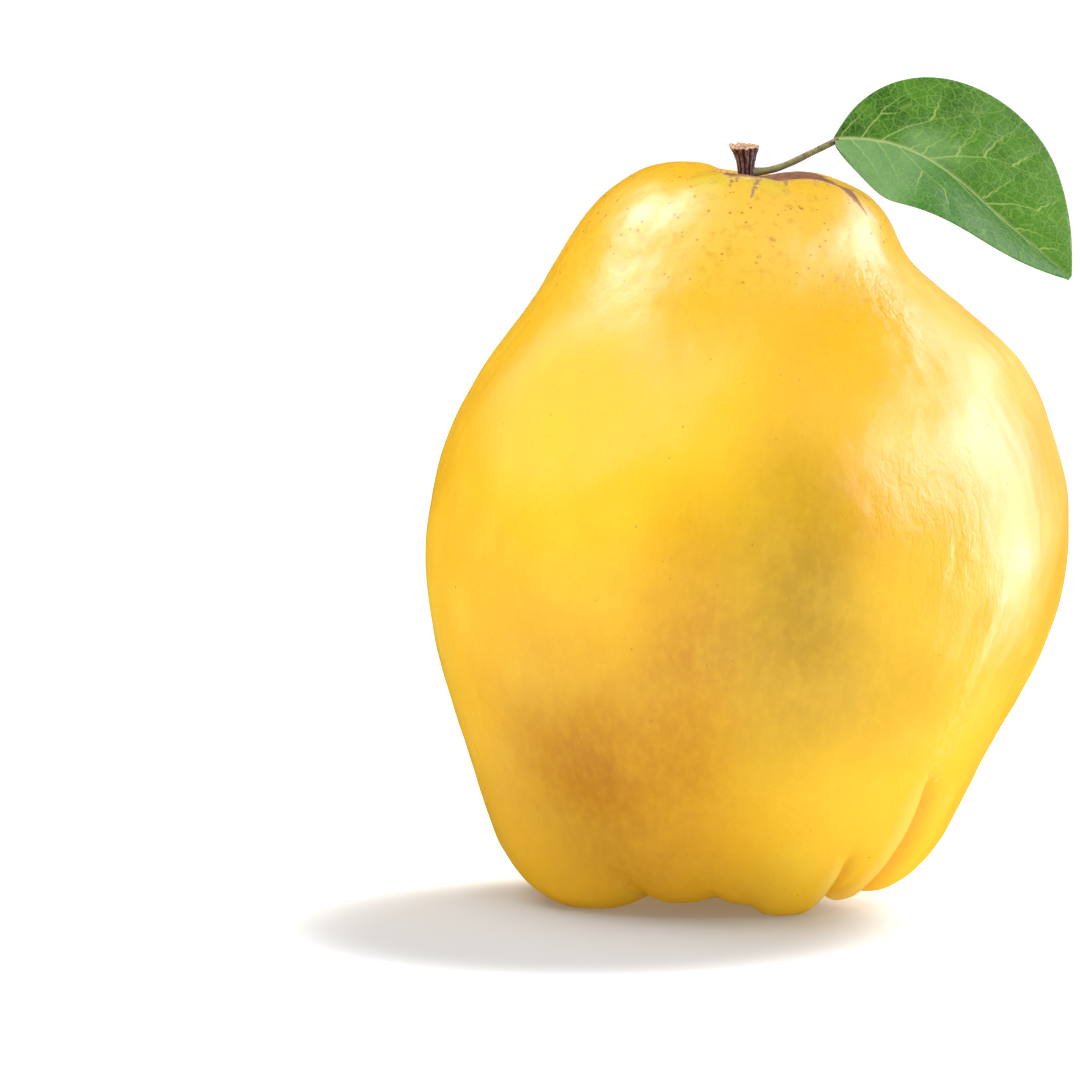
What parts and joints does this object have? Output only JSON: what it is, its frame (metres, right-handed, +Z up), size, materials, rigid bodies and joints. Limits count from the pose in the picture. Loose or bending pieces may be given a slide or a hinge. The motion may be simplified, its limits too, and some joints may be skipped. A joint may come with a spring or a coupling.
{
  "type": "quince",
  "caption": "Whole ripe quince standing on the lobes round its calyx, with a woody stem stub, one leaf on its stalk, and a dried calyx underneath.",
  "frame": {"origin": "on the ground, under the axis from the calyx to the stem stub", "axes": "+Z up along that axis, +X the side that the leaf hangs over, -Y the front, the side seen in the picture"},
  "size_m": [0.0944, 0.0902, 0.1191],
  "materials": {
    "skin": "waxy yellow skin, softly shining, with fine pores and russet round the stem",
    "stem_wood": "dry ribbed bark with a pale cut end",
    "leaf_stalk": "smooth, olive green to brown",
    "leaf": "satin green above with pale veins, felty grey-green below",
    "calyx": "dry, matt and downy",
    "stamens": "withered, matt"
  },
  "bodies": {
    "root": {"fruit": "skin", "stem_stub": "stem_wood", "leaf_stalk": "leaf_stalk", "leaf_blade": "leaf", "calyx_sepals": "calyx", "dried_stamens": "stamens"}
  },
  "joints": []
}
